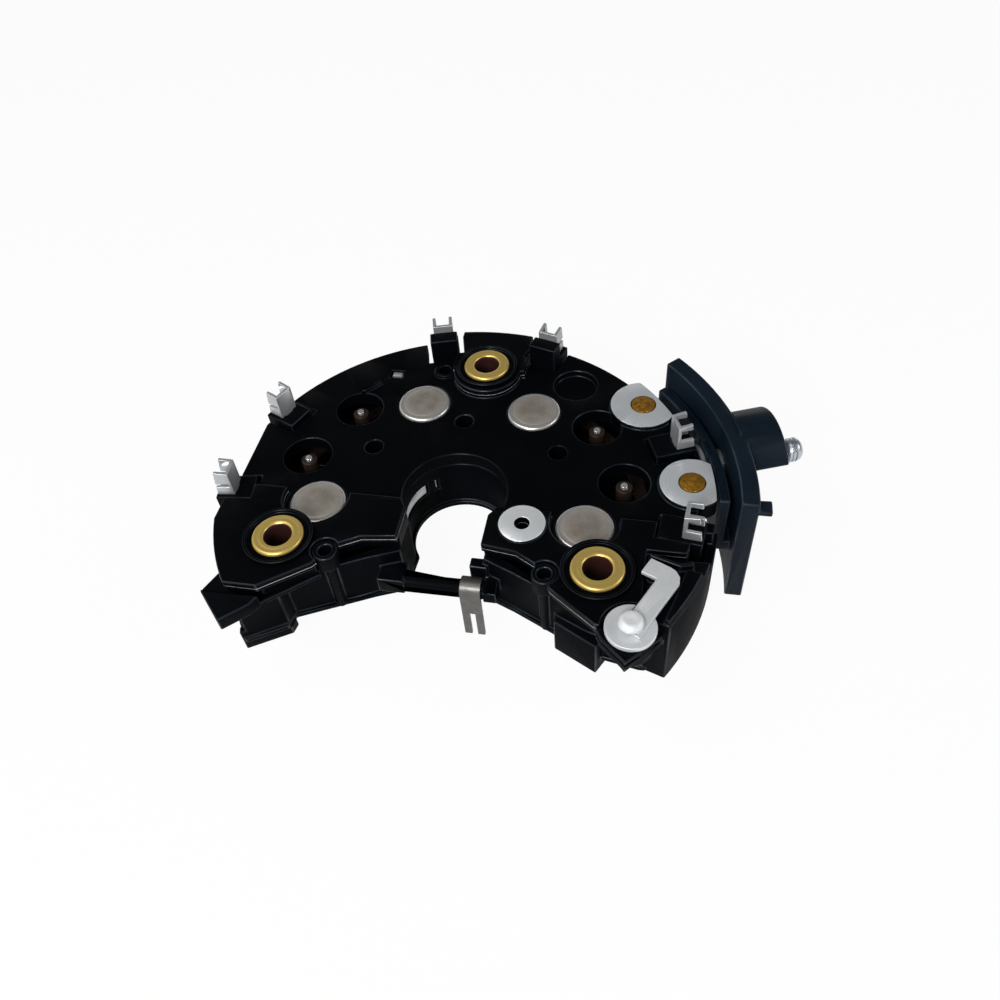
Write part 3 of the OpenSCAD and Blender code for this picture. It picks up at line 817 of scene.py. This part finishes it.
class Thread:
    """Geometry Nodes that wind a screw thread along Z."""

    def __init__(self) -> None:
        """Builds the tree with its named inputs."""
        self.tree = bpy.data.node_groups.new("wound_thread", "GeometryNodeTree")
        face = self.tree.interface
        face.new_socket("Blank", in_out="INPUT", socket_type="NodeSocketGeometry")
        kinds = dict.fromkeys(("Turns", "Radius", "Height", "Crest"), "NodeSocketFloat")
        kinds["Finish"] = "NodeSocketMaterial"
        self.keys: dict[str, str] = {}
        for name, kind in kinds.items():
            self.keys[name] = face.new_socket(name, in_out="INPUT", socket_type=kind).identifier
        face.new_socket("Thread", in_out="OUTPUT", socket_type="NodeSocketGeometry")
        nodes, links = self.tree.nodes, self.tree.links
        entry, leave = nodes.new("NodeGroupInput"), nodes.new("NodeGroupOutput")
        spiral, section = nodes.new("GeometryNodeCurveSpiral"), nodes.new("GeometryNodeCurvePrimitiveCircle")
        sweep, join = nodes.new("GeometryNodeCurveToMesh"), nodes.new("GeometryNodeJoinGeometry")
        solid, paint = nodes.new("GeometryNodeRealizeInstances"), nodes.new("GeometryNodeSetMaterial")
        spiral.inputs["Resolution"].default_value = THREAD_STEPS
        section.inputs["Resolution"].default_value = THREAD_SIDES
        sweep.inputs["Fill Caps"].default_value = True
        links.new(entry.outputs["Turns"], spiral.inputs["Rotations"])
        links.new(entry.outputs["Radius"], spiral.inputs["Start Radius"])
        links.new(entry.outputs["Radius"], spiral.inputs["End Radius"])
        links.new(entry.outputs["Height"], spiral.inputs["Height"])
        links.new(entry.outputs["Crest"], section.inputs["Radius"])
        links.new(spiral.outputs["Curve"], sweep.inputs["Curve"])
        links.new(section.outputs["Curve"], sweep.inputs["Profile Curve"])
        links.new(entry.outputs["Blank"], join.inputs["Geometry"])
        links.new(sweep.outputs["Mesh"], join.inputs["Geometry"])
        links.new(join.outputs["Geometry"], solid.inputs["Geometry"])
        links.new(solid.outputs["Geometry"], paint.inputs["Geometry"])
        links.new(entry.outputs["Finish"], paint.inputs["Material"])
        links.new(paint.outputs["Geometry"], leave.inputs["Thread"])

    def mesh(
        self, name: str, blank: bpy.types.Mesh, sizes: dict[str, float], material: bpy.types.Material
    ) -> bpy.types.Mesh:
        """Winds the thread on a blank that stands on the origin.

        Args:
            name: Name of the mesh.
            blank: The plain rod.
            sizes: Turns, and Radius, Height and Crest in metres.
            material: The finish.

        Returns:
            One plain mesh.
        """
        holder = bpy.data.objects.new(f"{name}_holder", blank)
        bpy.context.scene.collection.objects.link(holder)
        modifier = holder.modifiers.new("thread", "NODES")
        modifier.node_group = self.tree
        for key, value in sizes.items():
            modifier[self.keys[key]] = value
        modifier[self.keys["Finish"]] = material
        made = evaluated_mesh(holder, name)
        smooth(made)
        return made


@dataclass(frozen=True)
class Dressed:
    """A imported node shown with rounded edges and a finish."""

    node: str
    slot: str
    width: float

    def build(self, material: bpy.types.Material) -> bpy.types.Object:
        """Makes the rounded piece in the node's place.

        Args:
            material: The finish.

        Returns:
            The piece.
        """
        mesh = rounded_mesh(self.node, self.width)
        piece = new_piece(f"{self.node}_skin", mesh, material)
        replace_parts(piece, self.node)
        return piece


@dataclass
class HeatSinks:
    """The coated positive heat sink and the bare negative one."""

    coat: BlackCasting = BlackCasting()
    bare: Metal = Metal("bare_die_casting", (0.85, 0.86, 0.87), (0.62, 0.63, 0.65), (0.3, 0.5), 0.85)
    positive: Dressed = Dressed("positive_heat_sink", "black_casting", 0.3)
    negative: Dressed = Dressed("negative_heat_sink", "bare_aluminium", 0.25)

    def build(self) -> None:
        """Dresses both."""
        self.positive.build(self.coat.material())
        self.negative.build(self.bare.material())


@dataclass
class Moulding:
    """The moulded wiring plate."""

    finish: BlackMoulding = BlackMoulding(
        "black_glass_filled", (0.0006, 0.0009, 0.0014), (0.003, 0.004, 0.006)
    )
    plate: Dressed = Dressed("wiring_plate", "black_moulding", 0.3)

    def build(self) -> None:
        """Dresses the plate."""
        self.plate.build(self.finish.material())


@dataclass
class MountingRivets:
    """Three spun hollow rivets in their insulating bushes."""

    circle_r: float = 40.0
    bush_edge: float = 0.18
    brass: Brass = Brass()
    bush: BlackMoulding = BlackMoulding("bush_plastic", (0.0006, 0.0008, 0.0012), (0.0025, 0.003, 0.0042))
    profile: Profile = (
        (2.9, 0.1), (2.9, 20.9), (3.0, 21.4), (3.2, 21.75), (3.45, 21.93), (3.75, 21.97), (4.05, 21.94),
        (4.3, 21.9), (4.6, 21.9), (4.9, 21.95), (5.15, 21.95), (5.4, 21.86), (5.58, 21.68), (5.67, 21.4),
        (5.68, 21.2), (5.6, 21.05), (5.4, 21.0), (3.8, 21.0), (3.8, 1.0), (4.8, 0.9), (4.98, 0.6),
        (4.98, 0.3), (4.8, 0.05), (3.1, 0.02), (2.9, 0.1),
    )

    def seats(self) -> list[Point]:
        """Centres of the rivets, in the mounting plane."""
        turns = [math.radians(side.value) for side in Side]
        return [(self.circle_r * math.cos(a), self.circle_r * math.sin(a), 0.0) for a in turns]

    def build(self, repeat: Repeat) -> None:
        """Makes the rivets as one piece and dresses the bushes.

        Args:
            repeat: The tree that sets a pattern on seats.
        """
        material = self.brass.material([seat[:2] for seat in self.seats()])
        mesh = repeat.mesh("hollow_rivets", lathe("spun_rivet", self.profile), self.seats(), material)
        piece = new_piece("hollow_rivets", mesh, material)
        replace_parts(piece, "hollow_rivet_top", "hollow_rivet_left", "hollow_rivet_right")
        plastic = self.bush.material()
        for side in Side:
            Dressed(f"rivet_bush_{side.name.lower()}", "bush_moulding", self.bush_edge).build(plastic)


@dataclass
class Diodes:
    """Press-fit diodes: four show their bases, four their head wires."""

    base_r: float = 31.25
    base_angles: tuple[float, ...] = (192.8, 116.2, 63.8, -12.8)
    wire_edge: float = 0.1
    wire: SolderedWire = SolderedWire(
        # Dark head colours: stain, and painted shade of the wells
        "soldered_wire", (0.09, 0.05, 0.038), (0.025, 0.013, 0.01), (0.2, 0.4), 0.8
    )
    profile: Profile = (
        (0.0, 18.56), (4.5, 18.56), (4.8, 18.52), (5.0, 18.44), (5.4, 18.42), (5.7, 18.48), (5.95, 18.48),
        (6.2, 18.36), (6.36, 18.14), (6.43, 17.8), (6.43, 13.15), (4.0, 13.1), (1.6, 10.6), (0.8, 10.6),
        (0.8, 10.02), (0.0, 10.02),
    )

    def build(self, repeat: Repeat) -> None:
        """Makes the base-up diodes as one piece and dresses the rest.

        Args:
            repeat: The tree that sets a pattern on seats.
        """
        turns = [math.radians(a) for a in self.base_angles]
        seats = [(self.base_r * math.cos(a), self.base_r * math.sin(a), 0.0) for a in turns]
        case = DiodeCase(
            "dull_nickel", (0.45, 0.415, 0.37), (0.3, 0.27, 0.235), (0.34, 0.5), 0.5, 3.0, 0.35, 0.03,
            centres=tuple(seat[:2] for seat in seats),
        )
        material = case.material()
        mesh = repeat.mesh("positive_diodes", lathe("diode_case", self.profile), seats, material)
        piece = new_piece("positive_diodes", mesh, material)
        numbers = range(1, len(seats) + 1)
        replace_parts(piece, *[f"positive_diode_{i}" for i in numbers])
        wire = self.wire.material()
        for i in numbers:
            Dressed(f"negative_diode_{i}", "diode_case", self.wire_edge).build(wire)


@dataclass
class Terminals:
    """Sheet-metal pieces: links, stator clips, strap, washer, rivets, fork and tab."""

    tin: Metal = Metal("matt_tin", (0.76, 0.78, 0.79), (0.54, 0.56, 0.58), (0.36, 0.52), 0.4, 4.0, 0.4)
    bright: Metal = Metal(
        "bright_tin", (0.62, 0.64, 0.66), (0.46, 0.48, 0.5), (0.36, 0.46), 0.75, 3.0, 0.8, 0.002, 1.0
    )
    nickel: Metal = Metal(
        "satin_nickel", (0.18, 0.176, 0.165), (0.09, 0.088, 0.082), (0.3, 0.45), 0.8, 2.0, 0.4, 0.01
    )
    copper: Metal = Metal(
        # Stained copper, darkened further as painted shade of the deep wells it is seen in
        "stained_copper", (0.07, 0.045, 0.034), (0.02, 0.012, 0.009), (0.3, 0.55), 0.7
    )
    grainy: Metal = Metal(
        "grainy_copper", (0.52, 0.27, 0.03), (0.17, 0.07, 0.005), (0.4, 0.6), 0.9, 0.9, 0.3, 0.2, 3.0
    )
    snapped: Metal = Metal(
        "snapped_head", (0.84, 0.86, 0.87), (0.66, 0.68, 0.7), (0.42, 0.56), 0.35, 2.0, 0.4, 0.01
    )
    clips: int = 6
    links: tuple[str, ...] = (
        "phase_conductor_left", "phase_conductor_top", "phase_conductor_right", "star_conductor",
    )
    clip_edge: float = 0.15
    strap_edge: float = 0.2
    fork_edge: float = 0.12
    contact_edge: float = 0.12
    link_edge: float = 0.1
    tab_at: Point = (-23.6, 38.7, 9.0)
    tab_size: Point = (2.8, 1.4, 8.6)
    tab_r: float = 0.5
    tab_edge: float = 0.15
    tab_steps: int = 10
    strap_at: Point = (42.5, -32.6, 0.0)
    head: Profile = (
        (0.0, 23.42), (0.7, 23.45), (1.2, 23.58), (1.6, 23.55), (2.1, 23.3), (2.45, 22.9), (2.58, 22.4),
        (2.5, 22.0), (1.6, 22.0), (1.6, 14.0), (0.0, 14.0),
    )

    def window_tab(self, material: bpy.types.Material) -> None:
        """Stands a round-cornered tab on the wiring plate, in the top plate's small window.

        Args:
            material: The finish.
        """
        wide, deep, tall = self.tab_size
        centre_x, centre_z = wide / 2 - self.tab_r, tall - self.tab_r
        turns = [math.radians(90.0 * i / self.tab_steps) for i in range(self.tab_steps + 1)]
        arc = [(centre_x + self.tab_r * math.cos(a), centre_z + self.tab_r * math.sin(a)) for a in turns]
        outline = [(wide / 2, 0.0), *arc, *[(-x, z) for x, z in reversed(arc)], (-wide / 2, 0.0)]
        shape = bmesh.new()
        corners = [shape.verts.new((x * MM, -deep / 2 * MM, z * MM)) for x, z in outline]
        front = shape.faces.new(corners)
        grown = bmesh.ops.extrude_face_region(shape, geom=[front], use_keep_orig=True)["geom"]
        back = [item for item in grown if isinstance(item, bmesh.types.BMVert)]
        bmesh.ops.translate(shape, verts=back, vec=(0.0, deep * MM, 0.0))
        bmesh.ops.recalc_face_normals(shape, faces=shape.faces)
        rims = [edge for edge in shape.edges if edge.calc_face_angle(0.0) > SHARP]
        size = {"offset": self.tab_edge * MM, "segments": ROUND_SEGMENTS, "profile": 0.5}
        bmesh.ops.bevel(shape, geom=rims, affect="EDGES", **size)
        mesh = plain_mesh("window_tab", shape)
        mesh.transform(Matrix.Translation(Vector(self.tab_at) * MM))
        new_piece("window_tab", mesh, material)

    def strap_head(self, material: bpy.types.Material) -> None:
        """Makes the strap's rivet with its snapped head.

        Args:
            material: The finish.
        """
        mesh = lathe("strap_head", self.head, SMALL_STEPS)
        mesh.transform(Matrix.Translation(Vector(self.strap_at) * MM))
        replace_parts(new_piece("strap_head", mesh, material), "strap_rivet")

    def build(self) -> None:
        """Dresses every sheet-metal node."""
        tin, bright, nickel = self.tin.material(), self.bright.material(), self.nickel.material()
        copper, grainy = self.copper.material(), self.grainy.material()
        for i in range(1, self.clips + 1):
            Dressed(f"stator_clip_{i}", "tinned_sheet", self.clip_edge).build(bright)
        for node in ("regulator_strap", "strap_washer"):
            Dressed(node, "tinned_sheet", self.strap_edge).build(tin)
        self.strap_head(self.snapped.material())
        self.window_tab(bright)
        Dressed("fork_terminal", "nickel_sheet", self.fork_edge).build(nickel)
        for node in ("contact_rivet_upper", "contact_rivet_lower"):
            Dressed(node, "contact_rivet", self.contact_edge).build(grainy)
        for node in self.links:
            Dressed(node, "copper_link", self.link_edge).build(copper)


@dataclass
class BatteryTerminal:
    """The threaded stud and the hooded closing wall."""

    angle: float = 21.0
    axis_z: float = 11.0
    shank: Pair = (52.4, 67.0)
    shank_r: Pair = (3.3, 3.48)
    shank_chamfer: float = 0.3
    collar: Pair = (57.4, 58.6)
    collar_r: Pair = (5.3, 5.48)
    collar_chamfer: float = 0.2
    tip_r: float = 83.0
    tip_chamfer: float = 0.5
    thread_r: float = 3.0
    core_depth: float = 0.5
    crest_depth: float = 0.4
    crest: float = 0.38
    pitch: float = 0.8
    run_out: float = 0.8
    hood_from: float = 66.0
    hood_reach: Pair = (8.6, 11.9)
    hood_edge: Pair = (34.0, 39.8)
    hood_drop: float = 5.0
    wall_edge: float = 0.35
    zinc: Metal = Metal(
        "bright_zinc", (0.7, 0.74, 0.78), (0.5, 0.54, 0.58), (0.26, 0.42), 0.9, 2.0, 0.3, 0.01
    )
    plastic: BlackMoulding = BlackMoulding(
        # Dark and pale tones, then the colour of the painted sheen on rounded edges
        "grey_black_plastic", (0.003, 0.0065, 0.012), (0.011, 0.02, 0.032), (0.028, 0.045, 0.062),
        (0.36, 0.5), 1.18,
    )

    def build(self, thread: Thread) -> None:
        """Makes the stud and dresses the wall.

        Args:
            thread: The tree that winds a thread.
        """
        self.stud(thread)
        wall = Dressed("b_plus_shield", "grey_black_moulding", self.wall_edge)
        self.deepen_hood(wall.build(self.plastic.material()).data)

    def blank(self) -> list[Pair]:
        """Section of the plain stud.

        Returns:
            Radius, and distance along the stud from where its thread starts.
        """
        low, high = self.shank
        near, far = self.collar
        shank_edge, shank = self.shank_r
        collar_edge, collar = self.collar_r
        core = self.thread_r - self.core_depth
        section = [
            (0.0, low), (shank_edge, low), (shank, low + self.shank_chamfer), (shank, near),
            (collar_edge, near), (collar, near + self.collar_chamfer), (collar, far - self.collar_chamfer),
            (collar_edge, far), (shank, far), (shank, high), (core, high),
            (core, self.tip_r - self.tip_chamfer), (core - self.tip_chamfer, self.tip_r), (0.0, self.tip_r),
        ]
        return [(radius, along - high) for radius, along in section]

    def stud(self, thread: Thread) -> None:
        """Makes the stud with its thread.

        Args:
            thread: The tree that winds a thread.
        """
        material = self.zinc.material()
        start = self.shank[1]
        length = self.tip_r - start - self.run_out
        sizes = {
            "Turns": length / self.pitch,
            "Radius": (self.thread_r - self.crest_depth) * MM,
            "Height": length * MM,
            "Crest": self.crest * MM,
        }
        blank = lathe("plain_stud", self.blank(), SMALL_STEPS)
        mesh = thread.mesh("battery_stud", blank, sizes, material)
        turn = Matrix.Rotation(math.radians(self.angle), 4, "Z")
        along = Matrix.Translation((start * MM, 0.0, self.axis_z * MM))
        mesh.transform(turn @ along @ Matrix.Rotation(math.radians(90), 4, "Y"))
        piece = new_piece("battery_stud", mesh, material)
        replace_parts(piece, "b_plus_stud")

    def deepen_hood(self, mesh: bpy.types.Mesh) -> None:
        """Turns the hood's two lower edges down about the stud's axis.

        Args:
            mesh: The wall's mesh.
        """
        inward = Matrix.Rotation(math.radians(-self.angle), 4, "Z")
        outward = inward.inverted()
        for vert in mesh.vertices:
            at = inward @ vert.co
            side, rise = at.y, at.z - self.axis_z * MM
            reach = math.hypot(side, rise) / MM
            swing = math.degrees(math.atan2(rise, abs(side)))
            near = self.hood_reach[0] < reach < self.hood_reach[1]
            if at.x > self.hood_from * MM and near and self.hood_edge[0] < swing < self.hood_edge[1]:
                lower = math.radians(swing - self.hood_drop)
                at.y = math.copysign(reach * MM * math.cos(lower), side)
                at.z = (self.axis_z + reach * math.sin(lower)) * MM
                vert.co = outward @ at


@dataclass(frozen=True)
class Softbox:
    """A square lamp that faces the part, with its place and side in metres and its power in watts."""

    name: str
    place: Point
    side: float
    power: float

    def build(self) -> None:
        """Adds the lamp."""
        data = bpy.data.lights.new(self.name, "AREA")
        data.size = self.side
        data.energy = self.power
        lamp = bpy.data.objects.new(self.name, data)
        lamp.location = self.place
        lamp.rotation_mode = "QUATERNION"
        lamp.rotation_quaternion = Vector(self.place).to_track_quat("Z", "Y")
        bpy.context.scene.collection.objects.link(lamp)


@dataclass
class Stage:
    """Camera, lamps, floor and world."""

    eye: Point = (45.276, -131.009, 169.971)
    right: Point = (0.98115, 0.18059, -0.06880)
    up: Point = (-0.09125, 0.74673, 0.65884)
    back: Point = (0.17035, -0.64014, 0.74913)
    lens: float = 32.576
    sensor: float = 36.0
    near_clip: float = 0.01
    lamps: tuple[Softbox, ...] = (
        Softbox("key_softbox", (-0.08, -0.5, 0.44), 0.26, 3.3),
        Softbox("top_softbox", (-0.38, -0.12, 0.68), 0.5, 1.9),
        Softbox("side_softbox", (0.62, 0.05, 0.36), 0.3, 0.9),
    )
    floor_z: float = -11.2
    floor_half: float = 3.0
    floor_blot: float = 60.0
    floor_rough: float = 0.9
    floor_tones: tuple[RGB, RGB] = ((0.84, 0.84, 0.84), (0.86, 0.86, 0.86))
    seen_white: float = 0.94
    mirrored_white: float = 0.3
    horizon: float = 0.1
    horizon_fall: float = 3.0
    ceiling: float = 0.1

    def build(self) -> None:
        """Makes the camera first, then the light and the floor."""
        self.camera()
        for lamp in self.lamps:
            lamp.build()
        self.floor()
        self.world()
        bpy.context.scene.view_settings.view_transform = "Standard"

    def camera(self) -> None:
        """Sets the camera where the photograph was taken."""
        data = bpy.data.cameras.new("camera")
        data.sensor_width = self.sensor
        data.lens = self.lens
        data.clip_start = self.near_clip
        eye = bpy.data.objects.new("camera", data)
        bpy.context.scene.collection.objects.link(eye)
        turn = Matrix((self.right, self.up, self.back)).transposed().to_4x4()
        eye.matrix_world = Matrix.Translation(Vector(self.eye) * MM) @ turn
        bpy.context.scene.camera = eye

    def floor(self) -> None:
        """Lays the white floor, which keeps a soft shadow."""
        mesh = bpy.data.meshes.new("floor")
        half = self.floor_half
        corners = [(-half, -half), (half, -half), (half, half), (-half, half)]
        mesh.from_pydata([(x, y, self.floor_z * MM) for x, y in corners], [], [(0, 1, 2, 3)])
        tree = NodeBuild("white_floor")
        colour = tree.mix(*self.floor_tones, tree.noise(self.floor_blot))
        tree.finish(Base_Color=colour, Roughness=self.floor_rough, Specular_IOR_Level=0.0)
        seen = tree.node("ShaderNodeLightPath", {}, {}, "Is Camera Ray")
        mirrored = tree.node("ShaderNodeLightPath", {}, {}, "Is Glossy Ray")
        through = tree.node("ShaderNodeLightPath", {}, {}, "Is Transmission Ray")
        glow = tree.node("ShaderNodeEmission", {}, {"Color": (1.0, 1.0, 1.0), "Strength": 1.0})
        share = seen * self.seen_white + (mirrored + through) * self.mirrored_white
        tree.cover(glow, share.clamped())
        mesh.materials.append(tree.material)
        floor = bpy.data.objects.new("floor", mesh)
        bpy.context.scene.collection.objects.link(floor)

    def world(self) -> None:
        """Makes a white horizon under a dim ceiling, and a white background."""
        sky = bpy.data.worlds.new("studio")
        sky.use_nodes = True
        tree = NodeBuild.over(sky.node_tree)
        way = tree.node("ShaderNodeTexCoord", {}, {}, "Generated")
        height = tree.node("ShaderNodeSeparateXYZ", {}, {0: way}, "Z")
        horizon = (1.0 - (height - self.horizon) * self.horizon_fall).clamped()
        seen = tree.node("ShaderNodeLightPath", {}, {}, "Is Camera Ray")
        level = seen.larger(horizon.span(self.ceiling, 1.0))
        background = sky.node_tree.nodes["Background"]
        tree.feed(background.inputs["Strength"], level)
        tree.feed(background.inputs["Color"], (1.0, 1.0, 1.0))
        bpy.context.scene.world = sky


def main() -> None:
    """Builds the scene in order."""
    logging.basicConfig(level=logging.INFO, format="%(message)s")
    Stage().build()
    repeat, thread = Repeat(), Thread()
    HeatSinks().build()
    Moulding().build()
    MountingRivets().build(repeat)
    Diodes().build(repeat)
    Terminals().build()
    BatteryTerminal().build(thread)


if __name__ == "__main__":
    main()
